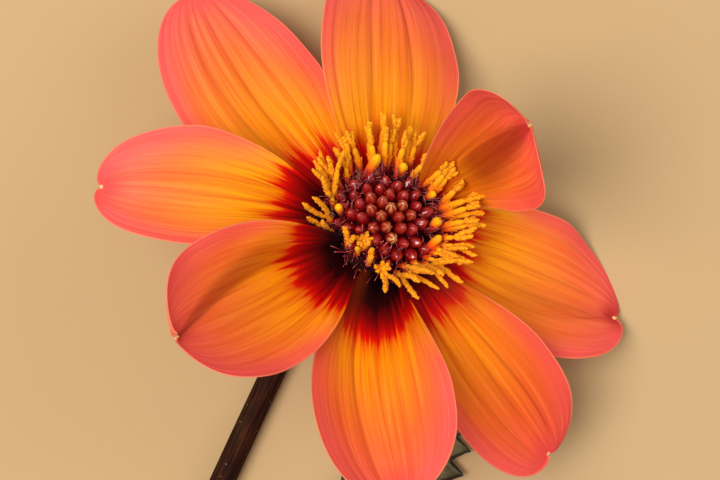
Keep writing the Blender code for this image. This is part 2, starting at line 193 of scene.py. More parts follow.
# ---- shapes ------------------------------------------------------------------------------------
class Shape:
    """Vertices, faces and per-vertex values of a piece made of one or more closed parts."""

    def __init__(self):
        self.points = []
        self.faces = []
        self.values = {}
        self.count = 0

    def add(self, points, faces, **values):
        """Add one closed part; each value is a number for it all, or one for each vertex."""
        points = np.asarray(points, float).reshape(-1, 3)
        self.points.append(points)
        self.faces += [[k + self.count for k in face] for face in faces]
        for name, value in values.items():
            column = np.broadcast_to(np.asarray(value, float).reshape(-1), len(points))
            self.values.setdefault(name, []).append(column)
        self.count += len(points)

    def piece(self, name, material, matrix, replaces=()):
        """Make the object, in place, and tie it to the frame."""
        points = np.concatenate(self.points)
        moved = points @ np.array(matrix.to_3x3()).T + np.array(matrix.translation)
        mesh = bpy.data.meshes.new(name)
        mesh.from_pydata(moved.tolist(), [], self.faces)
        for value_name, columns in self.values.items():
            attribute = mesh.attributes.new(value_name, "FLOAT", "POINT")
            attribute.data.foreach_set("value", np.concatenate(columns).astype(np.float32))
        mesh.shade_smooth()
        mesh.set_sharp_from_angle(angle=radians(70))
        mesh.materials.append(material)
        made = bpy.data.objects.new(name, mesh)
        bpy.context.scene.collection.objects.link(made)
        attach(made, "root")
        if replaces:
            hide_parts(*replaces)
        return made


def one_piece(name, material, slot, matrix, replaces, vertices, faces, **values):
    """A piece made of one closed part."""
    shape = Shape()
    shape.add(vertices, faces, **values)
    shape.piece(name, material, matrix, replaces)


def sheet(points, thickness):
    """A closed sheet round rows of points; thickness is one number or one for each point."""
    rows, columns = points.shape[:2]
    along = np.gradient(points, axis=0)
    across = np.gradient(points, axis=1)
    normals = unit(np.cross(along, across))
    half = np.broadcast_to(np.asarray(thickness, float), (rows, columns))[..., None] / 2
    vertices = np.concatenate([(points + normals * half).reshape(-1, 3),
                               (points - normals * half).reshape(-1, 3)])
    under = rows * columns
    index = np.arange(under).reshape(rows, columns)
    faces = []
    for a in index[:-1, :-1].ravel().tolist():
        b = a + columns
        faces.append((a, b, b + 1, a + 1))
        faces.append((under + a, under + a + 1, under + b + 1, under + b))
    rim = np.concatenate([index[:, 0], index[-1, 1:], index[-2::-1, -1], index[0, -2:0:-1]]).tolist()
    for a, b in zip(rim, rim[1:] + rim[:1]):
        faces.append((under + a, under + b, b, a))
    return vertices, faces


def both_sides(values):
    """Values of a sheet's points, repeated for its two sides."""
    flat = np.asarray(values, float).reshape(-1)
    return np.concatenate([flat, flat])


def path_frames(path):
    """The direction and the two sideways axes at each point of a path."""
    ahead = unit(np.gradient(path, axis=0))
    side = np.array((1.0, 0.0, 0.0) if abs(ahead[0][1]) > 0.9 else (0.0, 1.0, 0.0))
    sides = []
    for direction in ahead:
        side = side - direction * side.dot(direction)
        side = side / np.linalg.norm(side)
        sides.append(side)
    sides = np.array(sides)
    return ahead, sides, np.cross(ahead, sides)


def around(sides):
    """The angles of a ring's points."""
    return 2 * pi * np.arange(sides) / sides


def rings_along(centres, side, up, radii, angles):
    """Rings of points round centres, in the plane of side and up; radii has a row for each."""
    turn = side[..., None, :] * np.cos(angles)[:, None] + up[..., None, :] * np.sin(angles)[:, None]
    return centres[:, None] + radii[..., None] * turn


def rings_round_axis(radii, angles, level):
    """Rings of points round the head's axis, at the heights in level."""
    return np.stack(np.broadcast_arrays(radii * np.cos(angles), radii * np.sin(angles), level), -1)


def shell(rings, low, high):
    """A closed shell over rings of points, with a point at each end."""
    count, sides = rings.shape[:2]
    vertices = np.concatenate([rings.reshape(-1, 3), [low], [high]])
    nexts = [(k, (k + 1) % sides) for k in range(sides)]
    last = (count - 1) * sides
    faces = [(a + k, a + m, a + sides + m, a + sides + k)
             for a in range(0, last, sides) for k, m in nexts]
    for k, m in nexts:
        faces.append((count * sides, m, k))
        faces.append((count * sides + 1, last + k, last + m))
    return vertices, faces


def ring_values(values, sides, ends=None):
    """One value for each ring of a shell, repeated round it, and the values of its two ends."""
    values = np.asarray(values, float)
    return np.concatenate([np.repeat(values, sides), values[[0, -1]] if ends is None else ends])


def tube(path, radii, sides):
    """A closed tube; radii is one for each point of the path, or rows of one for each side."""
    radii = np.asarray(radii, float)
    if radii.ndim == 1:
        radii = np.repeat(radii[:, None], sides, axis=1)
    _, side, up = path_frames(path)
    return shell(rings_along(path, side, up, radii, around(sides)), path[0], path[-1])


def arc_path(start, ahead, bend, length, steps):
    """A path that leaves start along ahead and turns steadily towards bend."""
    start = np.asarray(start, float)
    ahead = unit(np.asarray(ahead, float))
    bend = np.asarray(bend, float)
    points = [start]
    for i in range(steps):
        direction = unit(ahead + bend * ((i + 0.5) / steps))
        points.append(points[-1] + direction * (length / steps))
    return np.array(points)


# ---- materials ---------------------------------------------------------------------------------
class Surface:
    """A procedural material under construction."""

    def __init__(self, name, roughness, **settings):
        self.material = bpy.data.materials.new(name)
        self.material.use_nodes = True
        self.tree = self.material.node_tree
        self.shader = self.tree.nodes["Principled BSDF"]
        self.shader.inputs["Roughness"].default_value = roughness
        for socket, value in settings.items():
            self.shader.inputs[socket.replace("_", " ")].default_value = value

    def put(self, socket, value):
        """Set a node's input from a number, a colour or another node's output."""
        if isinstance(value, bpy.types.NodeSocket):
            self.tree.links.new(value, socket)
        else:
            socket.default_value = value

    def node(self, kind, *values, **settings):
        """A new node with its properties set and its first inputs filled in."""
        made = self.tree.nodes.new("ShaderNode" + kind)
        for name, value in settings.items():
            setattr(made, name, value)
        for socket, value in zip(made.inputs, values):
            self.put(socket, value)
        return made

    def attributes(self, *names):
        """The values that the piece has at each vertex, by name."""
        return [self.node("Attribute", attribute_name=name).outputs["Fac"] for name in names]

    def place(self):
        """The point on the object, in metres."""
        return self.node("TexCoord").outputs["Object"]

    def math(self, operation, *values, clamp=False):
        return self.node("Math", *values, operation=operation, use_clamp=clamp).outputs[0]

    def times(self, first, second):
        return self.math("MULTIPLY", first, second)

    def shifted(self, base, noise, amount):
        """base, moved down and up by half of amount where the noise is 0 and 1."""
        return self.math("MULTIPLY_ADD", self.math("SUBTRACT", noise, 0.5), amount, base)

    def between(self, value, low, high, out_low=0.0, out_high=1.0):
        """value taken smoothly from low..high to out_low..out_high."""
        return self.node("MapRange", value, low, high, out_low, out_high,
                         interpolation_type="SMOOTHSTEP").outputs[0]

    def vector(self, x, y, z):
        return self.node("CombineXYZ", x, y, z).outputs[0]

    def noise(self, vector, scale, detail=2.0, roughness=0.5):
        made = self.node("TexNoise", vector)
        for name, value in (("Scale", scale), ("Detail", detail), ("Roughness", roughness)):
            made.inputs[name].default_value = value
        return made.outputs["Fac"]

    def blend(self, share, first, second, way="MIX"):
        made = self.node("Mix", share, data_type="RGBA", blend_type=way)
        self.put(made.inputs[6], first)
        self.put(made.inputs[7], second)
        return made.outputs[2]

    def tint(self, share, colour, target, amount):
        """colour taken to target by a mask times an amount; target is a screen colour."""
        return self.blend(self.times(share, amount), colour, srgb(*target))

    def ramp(self, value, stops):
        """A colour that runs through stops, each of them a place and a screen colour."""
        low = stops[0][0]
        span = stops[-1][0] - low
        made = self.node("ValToRGB")
        elements = made.color_ramp.elements
        while len(elements) < len(stops):
            elements.new(0.5)
        for element, (place, *colour) in zip(elements, stops):
            element.position = (place - low) / span
            element.color = srgb(*colour)
        share = self.math("DIVIDE", self.math("SUBTRACT", value, low), span, clamp=True)
        self.put(made.inputs[0], share)
        return made.outputs[0]

    def specks(self, scale, size, rarity):
        """A mask of small scattered spots; rarity is the share of cells left empty."""
        cells = self.node("TexVoronoi", self.place())
        cells.inputs["Scale"].default_value = scale
        chance = self.node("SeparateColor", cells.outputs["Color"]).outputs[0]
        near = self.between(cells.outputs["Distance"], size, size * 0.4)
        return self.times(near, self.math("GREATER_THAN", chance, rarity))

    def finish(self, colour, height=None, distance=0.1 * MM, strength=1.0):
        """Give the shader its colour, and its bump from a height of 0 to 1."""
        self.put(self.shader.inputs["Base Color"], colour)
        if height is not None:
            bump = self.node("Bump")
            for name, value in (("Strength", strength), ("Distance", distance), ("Height", height)):
                self.put(bump.inputs[name], value)
            self.put(self.shader.inputs["Normal"], bump.outputs[0])
        return self.material


# Colours along a petal, from the start of its gold (0) to its tip (1); its base lies below 0.
PETAL_STOPS = (
    (-0.40, 12, 0, 2), (-0.24, 42, 0, 2), (-0.15, 116, 1, 2), (-0.08, 168, 2, 1),
    (-0.03, 206, 6, 0), (0.00, 218, 32, 0), (0.03, 232, 92, 0), (0.08, 246, 142, 0),
    (0.17, 252, 160, 8), (0.32, 252, 152, 30), (0.48, 252, 138, 48), (0.66, 253, 122, 64),
    (0.84, 253, 112, 86), (1.10, 250, 104, 98),
)
# the deepest gold is partly a deeper hue and partly painted shade; DUSK is painted shade on a base
DEEP_OR_SHADED_GOLD = (0.93, 0.60, 0.35, 1.0)    # what the deepest gold is multiplied by
DUSK = (0.12, 0.03, 0.06, 1.0)         # what a base in the shade is multiplied by


def petal_material(number, look):
    """Velvety petal: dark jagged base, golden middle, coral margins, fine veins and a pale rim, with
    painted shade in its folds, notch, margins and base.
    """
    surface = Surface(f"petal_{number}", 0.55, Specular_IOR_Level=0.06, Sheen_Weight=0.02,
                      Sheen_Roughness=0.4)
    along, across, rim, tip, fold, back = surface.attributes(
        "along", "across", "rim", "tip", "fold", "back")

    def lengthwise_noise(across_scale, along_scale, offset, detail):
        place = surface.vector(surface.times(across, across_scale),
                               surface.times(along, along_scale), number * 7.3 + offset)
        return surface.noise(place, 1.0, detail)

    broad = lengthwise_noise(4.0, 1.2, 0, 1.0)
    jag = lengthwise_noise(15.0, 2.6, 3, 3.0)
    fine = lengthwise_noise(30.0, 2.4, 5, 2.0)
    veins = lengthwise_noise(11.0, 1.1, 9, 0.0)

    # the dark base, its flames, and the run from gold to coral
    red = surface.math("MULTIPLY_ADD", across, look.slant, look.red)
    sideways = surface.math("ABSOLUTE", across)
    red = surface.math("MULTIPLY_ADD", surface.math("POWER", sideways, 2.0), -look.arch, red)
    beyond = surface.math("SUBTRACT", along, red)
    margin = surface.times(surface.math("POWER", sideways, 2.4),
                           surface.between(beyond, -0.06, 0.25, 0.0, 0.32))
    share = surface.math("ADD", surface.math("DIVIDE", beyond, 1 - look.red), margin)
    reach = surface.times(surface.between(beyond, -0.18, 0.0, 0.10, 0.34),
                          surface.between(beyond, 0.08, 0.55, 1.0, 0.30))
    share = surface.shifted(surface.shifted(share, jag, reach), broad, 0.16)
    colour = surface.ramp(share, PETAL_STOPS)
    golden = surface.between(share, 0.0, 0.08)
    # gold deepened by look.deep, part hue and part painted shade, then painted shade over the base
    colour = surface.blend(surface.times(golden, look.deep), colour, DEEP_OR_SHADED_GOLD, "MULTIPLY")
    dusk = surface.times(surface.between(along, 0.36, 0.18), 0.42 * look.deep)
    colour = surface.blend(dusk, colour, DUSK, "MULTIPLY")

    # dark and light lines that run along it, strongest next to the base
    lines = surface.times(golden, surface.between(beyond, 0.02, 0.30, 1.0, 0.42))
    for noise, low, high, mask, target, amount in (
            (veins, 0.50, 0.36, lines, (214, 70, 12), 0.42),
            (fine, 0.45, 0.32, lines, (196, 52, 10), 0.52),
            (fine, 0.52, 0.70, golden, (255, 178, 80), 0.16)):
        colour = surface.tint(surface.times(surface.between(noise, low, high), mask), colour,
                              target, amount)

    # coral margins, painted shade in the folds and notch, pink tip, painted shade on the sides,
    # specks, back and pale rim
    inner = surface.times(surface.between(rim, 4.6, 0.3), surface.between(along, 0.22, 0.5))
    for mask, target, amount in (
            # painted shade along the folds, in their bands and in the notch
            (inner, (251, 90, 90), 0.56), (fold, (126, 20, 4), 0.76),
            (surface.between(tip, 6.0, 0.5), (214, 42, 52), look.blush),
            # painted shade: the right and left margins darkened towards brown by look.shade
            (surface.between(across, -0.15, -0.80), (150, 50, 10), look.shade[0]),
            (surface.between(across, 0.10, 0.70), (150, 50, 10), look.shade[1]),
            (surface.specks(1100.0, 0.16, 0.86), (170, 40, 22), 0.35)):
        colour = surface.tint(mask, colour, target, amount)
    paler = surface.times(back, surface.between(beyond, -0.02, 0.16))
    colour = surface.blend(paler, colour, surface.blend(0.45, colour, srgb(232, 122, 84)))
    pale_rim = surface.times(surface.between(rim, 0.30, 0.05), surface.between(beyond, 0.02, 0.16))
    colour = surface.tint(pale_rim, colour, (255, 166, 116), 0.34)
    colour = surface.tint(surface.between(tip, 0.45, 0.2), colour, (236, 208, 128), 0.9)

    pores = surface.noise(surface.place(), 5200.0, 2.0)
    height = surface.math("MULTIPLY_ADD", fine, 0.8, surface.times(pores, 0.35))
    return surface.finish(colour, height, 0.16 * MM, 0.8)


def bud_material():
    """Glossy dark red bud; some are ripe, with a tan or golden ribbed tip."""
    surface = Surface("closed_bud", 0.20, Specular_IOR_Level=0.65, Coat_Weight=0.35,
                      Coat_Roughness=0.15)
    height, ripe, rib = surface.attributes("height", "ripe", "rib")
    blotch = surface.noise(surface.place(), 900.0, 3.0)
    level = surface.shifted(height, blotch, 0.5)
    # darker towards the foot: the bud's dark red, with painted shade where the buds crowd together
    colour = surface.ramp(level, (
        (0.0, 24, 1, 6), (0.35, 66, 2, 8), (0.62, 118, 8, 12),
        (0.85, 150, 18, 16), (1.0, 164, 34, 24)))
    tip = surface.times(ripe, surface.between(height, 0.62, 0.90))
    ribbed = surface.blend(surface.between(rib, 0.45, 0.80), srgb(140, 40, 14), srgb(214, 150, 84))
    colour = surface.blend(tip, colour, ribbed)
    return surface.finish(colour, surface.noise(surface.place(), 2600.0, 2.0), 0.06 * MM, 0.5)


def floret_material():
    """Disc floret: red base, orange tube, golden mouth, and yellow style arms with pollen."""
    surface = Surface("disc_floret", 0.70, Specular_IOR_Level=0.10, Sheen_Weight=0.05)
    along, pollen = surface.attributes("along", "pollen")
    blotch = surface.noise(surface.place(), 1500.0, 3.0)
    level = surface.shifted(along, blotch, 0.25)
    colour = surface.ramp(level, (
        (0.0, 60, 3, 10), (0.25, 128, 10, 8), (0.45, 214, 58, 6),
        (0.62, 238, 116, 4), (0.80, 250, 158, 8), (1.0, 255, 196, 18)))
    grains = surface.noise(surface.place(), 4200.0, 2.0, 0.7)
    dusty = surface.blend(surface.between(grains, 0.38, 0.60), srgb(230, 124, 6), srgb(255, 182, 24))
    colour = surface.blend(pollen, colour, dusty)
    return surface.finish(colour, grains, 0.14 * MM, 0.9)


def chaff_material():
    """Thin scales and filaments between the florets: maroon, pinkish at their tips."""
    surface = Surface("chaff", 0.35, Specular_IOR_Level=0.6)
    along, = surface.attributes("along")
    blotch = surface.noise(surface.place(), 1200.0, 2.0)
    level = surface.shifted(along, blotch, 0.6)
    colour = surface.ramp(level, (
        (0.0, 30, 3, 10), (0.5, 84, 6, 20), (0.8, 150, 34, 46),
        (1.0, 206, 112, 104)))
    return surface.finish(colour, blotch, 0.05 * MM, 0.5)


def ground_material():
    """The dark floor of the disc, seen between the buds."""
    surface = Surface("disc_ground", 0.7, Specular_IOR_Level=0.12)
    blotch = surface.noise(surface.place(), 1600.0, 4.0)
    colour = surface.ramp(blotch, (
        (0.3, 16, 1, 5), (0.55, 44, 2, 9), (0.75, 84, 5, 14)))
    return surface.finish(colour, blotch, 0.3 * MM, 1.0)


def green_material(name, deep, light, edge):
    """Firm green tissue: bracts and receptacle, with fine lengthwise nerves, a brown edge and dark
    maroon painted shade where they lie under the petals and florets.
    """
    surface = Surface(name, 0.5, Specular_IOR_Level=0.4)
    rim, across, along, inner = surface.attributes("rim", "across", "along", "inner")
    blotch = surface.noise(surface.place(), 260.0, 4.0, 0.6)
    nerves = surface.noise(surface.vector(surface.times(across, 12.0), along, 2.0), 1.0, 2.0)
    colour = surface.ramp(surface.math("MULTIPLY_ADD", nerves, 0.5, surface.times(blotch, 0.5)),
                          ((0.36, *deep), (0.62, *light)))
    colour = surface.tint(surface.specks(700.0, 0.2, 0.7), colour, edge, 0.4)
    colour = surface.blend(surface.between(rim, 0.55, 0.1, 0.0, 0.8), colour, srgb(*edge))
    # painted shade: dark maroon where inner marks a part that lies under the petals and florets
    colour = surface.blend(inner, colour, srgb(40, 3, 9))
    return surface.finish(colour, nerves, 0.12 * MM, 0.7)


def stem_material():
    """Dark maroon-brown stem with fine ridges, greenish streaks and pale specks."""
    surface = Surface("stem", 0.75, Specular_IOR_Level=0.10)
    along, turn, cut = surface.attributes("along", "around", "cut")
    streaks = surface.noise(surface.vector(surface.times(turn, 14.0), surface.times(along, 9.0), 0.0),
                            1.0, 4.0)
    patches = surface.noise(surface.place(), 90.0, 3.0)
    colour = surface.ramp(streaks, (
        (0.30, 22, 7, 3), (0.48, 40, 14, 5), (0.62, 58, 24, 8),
        (0.75, 80, 42, 16)))
    colour = surface.blend(surface.between(patches, 0.5, 0.75, 0.0, 0.4), colour, srgb(58, 48, 22))
    colour = surface.tint(surface.specks(900.0, 0.16, 0.72), colour, (170, 140, 104), 0.6)
    fibres = surface.noise(surface.place(), 2400.0, 2.0)
    pith = surface.ramp(cut, (
        (0.0, 70, 60, 30), (0.35, 120, 128, 60), (0.55, 196, 196, 130),
        (0.9, 226, 218, 176), (1.0, 90, 76, 44)))
    pith = surface.blend(surface.between(fibres, 0.4, 0.7, 0.0, 0.35), pith, srgb(150, 140, 84))
    colour = surface.blend(surface.between(cut, 0.01, 0.1), colour, pith)
    return surface.finish(colour, streaks, 0.12 * MM, 0.8)


def leaf_material():
    """Matte bronze-green leaf with darker veins and a dark margin."""
    surface = Surface("leaf", 0.58, Specular_IOR_Level=0.35)
    rim, vein = surface.attributes("rim", "vein")
    blotch = surface.noise(surface.place(), 220.0, 5.0, 0.6)
    grain = surface.noise(surface.place(), 2600.0, 3.0)
    colour = surface.ramp(blotch, (
        (0.32, 56, 50, 30), (0.50, 84, 78, 46), (0.66, 110, 100, 62)))
    colour = surface.blend(surface.between(grain, 0.45, 0.7, 0.0, 0.3), colour, srgb(134, 120, 82))
    colour = surface.tint(vein, colour, (48, 36, 22), 0.6)
    colour = surface.blend(surface.between(rim, 0.85, 0.30, 0.0, 0.9), colour, srgb(24, 10, 6))
    return surface.finish(colour, grain, 0.12 * MM, 0.9)


def floor_material():
    """Plain pale warm floor with a very faint unevenness."""
    surface = Surface("floor", 0.85, Specular_IOR_Level=0.15)
    blotch = surface.noise(surface.place(), 6.0, 2.0)
    colour = surface.ramp(blotch, ((0.3, 190, 158, 114), (0.7, 195, 164, 121)))
    return surface.finish(colour)


# ---- petals ------------------------------------------------------------------------------------
def petal_width(petal, u, fullness=1.2):
    """Half the width at a share u of the length, as a share of the widest half-width."""
    rise = np.sin(pi / 2 * np.minimum(u / petal.widest, 1)) ** fullness
    claw = petal.claw + (CLAW_MORE if fullness < 1.0 else 0.0)
    before = claw + (1 - claw) * rise
    past = np.clip((u - petal.widest) / (1 - petal.widest), 0, 1)
    after = (1 - past ** petal.bluntness) ** (1 / petal.bluntness)
    return np.where(u < petal.widest, before, after)


def petal_heading(petal, u):
    """The direction in which a petal's midrib runs at shares u of its length."""
    lift = np.radians(mix(petal.lift, u))
    turn = np.radians(petal.azimuth + petal.sweep * u)
    return np.stack([np.cos(lift) * np.cos(turn), np.cos(lift) * np.sin(turn), np.sin(lift)], -1)


def petal_points(petal, u, sideways, height, grow=1.0):
    """Points of a petal from shares of its length and distances across and out from its midrib."""
    steps = 500
    marks = np.linspace(0, 1, steps + 1)
    middles = (marks[1:] + marks[:-1]) / 2
    stride = petal_heading(petal, middles) * (petal.length * grow * MM / steps)
    line = np.vstack([np.zeros(3), np.cumsum(stride, axis=0)])
    azimuth = radians(petal.azimuth)
    start = np.array((PETAL_BASE_RADIUS * cos(azimuth), PETAL_BASE_RADIUS * sin(azimuth),
                      -PETAL_BASE_DROP))
    place = start + np.stack([np.interp(u, marks, line[:, k]) for k in range(3)], -1)
    ahead = petal_heading(petal, u)
    turn = np.radians(petal.azimuth + petal.sweep * u)
    level = np.stack([-np.sin(turn), np.cos(turn), np.zeros_like(turn)], -1)
    twist = np.radians(mix(petal.twist, u))[..., None]
    across = level * np.cos(twist) + np.cross(ahead, level) * np.sin(twist)
    out = np.cross(ahead, across)
    return place + across * sideways[..., None] + out * height[..., None]


def petal_section(petal, u, v, half, curled=0.0, below=0.0):
    """Distances across and out of the curled cross-section, where half is half its width."""
    cup = np.radians(mix(petal.cup, u) + curled)
    curl = half * MM / cup
    return (curl + below) * np.sin(cup * v), curl - (curl + below) * np.cos(cup * v)


def petal_folds(look, u, v, half):
    """Depth of the lengthwise folds, and how much painted shade darkens each point: along the folds'
    lines, in the painted shadow bands beside them, and in the notch.
    """
    depth = np.zeros_like(u)
    # painted shade in the notch, then along each fold's line and in its band
    painted_shade = look.pit * np.exp(-(v * half / 1.9) ** 2) * smooth(0.82, 0.98, u)
    for fold in look.folds:
        place = fold.place * (1 - u ** 2.5 * (fold.end == 1))
        wander = place + 0.03 * np.sin(5 * u + 9 * fold.place) * (1 - u ** 2)
        away = (v - wander) * half
        fade = smooth(0.06, 0.30, u) * (1 - smooth(fold.end - 0.12, fold.end + 0.02, u)
                                        * (fold.end < 1))
        inside = np.exp(-np.abs(away / fold.width) ** 1.6)
        depth += fold.depth * MM * inside * fade * np.minimum(1, half / 3)
        strong = (0.45 + 0.55 * smooth(0.6, 0.92, u)) if fold.end == 1 else 1.0
        line = np.exp(-(away / (0.36 * fold.width)) ** 2) * smooth(0.14, 0.40, u)
        painted_shade = np.maximum(painted_shade, fold.line * strong * line * fade)
        if fold.band:
            inward = (wander - v) / (fold.band * (1.08 - u))
            beside = smooth(-0.06, 0.10, inward) * (1 - smooth(0.45, 1.15, inward))
            painted_shade = np.maximum(painted_shade, fold.shadow * beside * fade * smooth(0.12, 0.42, u))
    return depth, painted_shade


def outline_distance(sideways, lengthwise):
    """Distance in mm from each point of a flat grid to the grid's outer edge."""
    flat = np.stack([sideways, lengthwise], -1)
    edge = np.concatenate([flat[:, 0], flat[-1], flat[::-1, -1]])
    points = flat.reshape(-1, 2)
    nearest = np.full(len(points), 1e9)
    for k in range(0, len(edge), 8):
        gap = points[:, None] - edge[None, k:k + 8]
        nearest = np.minimum(nearest, (gap ** 2).sum(-1).min(1))
    return np.sqrt(nearest).reshape(sideways.shape)


def build_petal(number, petal, look):
    """One petal: a thin closed sheet with folds, veins, a notched tip and a wavy margin."""
    shares = (1 - (1 - np.linspace(0, 1, PETAL_ROWS)) ** ROW_CROWDING) * LAST_ROW
    u, v = np.meshgrid(shares, np.linspace(-1, 1, PETAL_COLUMNS), indexing="ij")
    sides = [petal.half_width * widen * petal_width(petal, u, fullness)
             for widen, _, fullness in (look.right, look.left)]
    half = np.where(v < 0, *sides)
    curled = np.where(v < 0, look.right[1], look.left[1]) * smooth(0.15, 0.5, u)
    length = petal.length * look.grow
    cut = look.notch / length * np.exp(-np.abs(v * half) / 0.9) * smooth(0.80, 1.0, u)
    reach = u - cut
    sideways, height = petal_section(petal, u, v, half, curled)

    phases = np.random.default_rng(SEED + number).uniform(0, 2 * pi, 8)
    # the second value is painted shade: the folds' lines and bands, and the notch
    folds, mask = petal_folds(look, u, v, half)
    ribs = (np.cos(2 * pi * 5.3 * v + phases[0]) + 0.7 * np.cos(2 * pi * 7.9 * v + phases[1])
            + 0.5 * np.cos(2 * pi * 3.1 * v + phases[2] + 2 * u))
    body = smooth(0.04, 0.2, u) * (1 - smooth(0.9, 1.0, u))
    ribs = 0.040 * MM * ribs * body * np.minimum(1, half / 6)
    wave = (0.30 * np.sin(2 * pi * 1.3 * u + phases[3]) + 0.22 * np.sin(2 * pi * 2.9 * u + phases[4]))
    wave = wave * MM * np.abs(v) ** 3 * smooth(0.25, 0.6, u) * np.sign(v + 1e-9)
    swell = 0.22 * MM * np.sin(3.4 * v + phases[5]) * np.sin(6 * u + phases[6]) * body
    height = height - folds + ribs + wave + swell

    points = petal_points(petal, reach, sideways, height, look.grow)
    thickness = (0.42 - 0.24 * np.abs(v) ** 5) * MM * (1 - 0.5 * smooth(0.9, 1.0, u))
    vertices, faces = sheet(points, thickness)
    rim = outline_distance(v * half, reach * length)
    tip = np.hypot(v * half, (1 - look.notch / length - reach) * length)
    back = np.concatenate([np.zeros(u.size), np.ones(u.size)])
    one_piece(f"petal_{number}", petal_material(number, look), "ray_petal", HEAD,
              [f"ray_floret_{number}"], vertices, faces, along=both_sides(u), across=both_sides(v),
              rim=both_sides(rim), tip=both_sides(tip), fold=both_sides(mask), back=back)


# ---- disc --------------------------------------------------------------------------------------
def dome_height(radius):
    """Height of the disc's dome over a radius from its axis."""
    return BUD_DOME_HEIGHT * (1 - 0.62 * (radius / BUD_DOME_RADIUS) ** 2)


def receptacle_height(radius, up=1):
    """Height of the receptacle's surface over a radius from the axis."""
    inside = max(0.0, 1 - (radius / RECEPTACLE_RADIUS) ** 2)
    return -RECEPTACLE_DROP + up * RECEPTACLE_HALF_HEIGHT * sqrt(inside)


DISC_FLOOR_RADIUS = 8.55 * MM
BUD_COUNT = 54
BUD_REACH = 7.9 * MM
RIPE_BUD = 12                   # the one with a pale tip, away from the middle
CHAFF_COUNT = 300


def ovoid(centre, axis, radius, length, turn, sides=20, rings=16):
    """A bud with five shallow seams that meet at its tip; also its heights and ribs."""
    axis = unit(np.asarray(axis, float))
    side = unit(np.cross(axis, (0.3, 0.9, 0.1)))
    heights = 0.02 + 0.975 * (1 - np.cos(np.linspace(0.0, 1.0, rings) * pi)) / 2
    profile = np.sqrt(heights) * (1 - heights) ** 0.55 * 1.9
    angles = around(sides)
    seam = np.abs(np.sin(2.5 * angles + turn)) ** 0.7
    lobes = 1 - 0.26 * (1 - seam)[None, :] * smooth(0.40, 0.95, heights)[:, None]
    centres = centre + (heights - 0.5)[:, None] * length * axis
    points = rings_along(centres, side, np.cross(axis, side), radius * profile[:, None] * lobes,
                         angles)
    low, high = (centre + axis * (heights[k] - 0.5 - 0.01) * length for k in (0, -1))
    ribs = np.concatenate([np.tile(seam, rings), [0.0, 0.0]])
    return *shell(points, low, high), ring_values(heights, sides, (0.0, 1.0)), ribs


# The florets that are opening: azimuth and radius of the foot, length, and the azimuth and slope
# of the direction in which each leans, and half its width.  One that has burst shows its anthers.
Opening = namedtuple("Opening", "azimuth radius length leans slope width burst")
OPENINGS = (
    Opening(14, 7.0, 3.2, -15, 46, 0.85, False),
    Opening(58, 7.6, 5.6, -11, 44, 0.90, False),
    Opening(112, 7.2, 2.8, 80, 62, 0.70, False),
    Opening(176, 6.9, 2.8, 63, 62, 0.74, True),
    Opening(-164, 7.8, 2.4, -150, 60, 0.78, True),
    Opening(-113, 8.0, 4.6, -28, 36, 0.74, False),
    Opening(-83, 7.0, 3.0, -24, 46, 0.88, False),
    Opening(-35, 7.2, 2.6, -50, 58, 0.70, False),
)


def build_disc_ground():
    """The dark floor of the disc, from the receptacle up to the buds' feet."""
    rings, sides = 34, 96
    radii = np.linspace(0.02, 1.0, rings) * DISC_FLOOR_RADIUS
    angles = around(sides)
    grain = np.random.default_rng(SEED + 40).uniform(-0.22, 0.22, (rings, sides)) * MM
    lower = np.array([receptacle_height(r) for r in radii])
    upper = np.array([max(dome_height(r) - 1.3 * MM, receptacle_height(r) + 0.15 * MM)
                      for r in radii])
    bottom = rings_round_axis(radii[:, None], angles, lower[:, None] - 0.4 * MM)
    top = rings_round_axis(radii[:, None], angles, upper[:, None] + grain)
    vertices, faces = shell(np.concatenate([bottom, top[::-1]]), bottom[0].mean(0), top[0].mean(0))
    one_piece("disc_floor", ground_material(), "disc_bud", HEAD, (), vertices, faces)


def build_buds():
    """The closed buds, one by one, on the spiral in which they grow."""
    shape = Shape()
    feet = [(o.radius * MM * cos(radians(o.azimuth)), o.radius * MM * sin(radians(o.azimuth)))
            for o in OPENINGS]
    for k in range(BUD_COUNT):
        r = BUD_REACH * sqrt((k + 0.5) / BUD_COUNT)
        x = r * cos(k * GOLDEN_ANGLE)
        y = r * sin(k * GOLDEN_ANGLE)
        if min((x - a) ** 2 + (y - b) ** 2 for a, b in feet) < (1.0 * MM) ** 2:
            continue
        spread = r / BUD_REACH
        radius = (1.20 + 0.09 * sin(3.1 * k) + 0.05 * spread) * MM
        length = (4.2 + 0.4 * sin(1.9 * k)) * MM
        lean = 0.80 * spread + 0.16 * sin(2.3 * k)
        axis = turned((sin(lean), 0.16 * cos(4.7 * k), cos(lean)), k * GOLDEN_ANGLE)
        centre = np.array((x, y, dome_height(r) - 0.75 * MM))
        ripe = max(0.0, 1 - r / (4.2 * MM)) * (0.55 + 0.45 * sin(5.1 * k + 1)) + (k == RIPE_BUD)
        vertices, faces, levels, ribs = ovoid(centre, axis, radius, length, 1.3 * k)
        shape.add(vertices, faces, height=levels, rib=ribs, ripe=min(1.0, ripe))
    shape.piece("closed_buds", bud_material(), HEAD, ["disc_buds"])


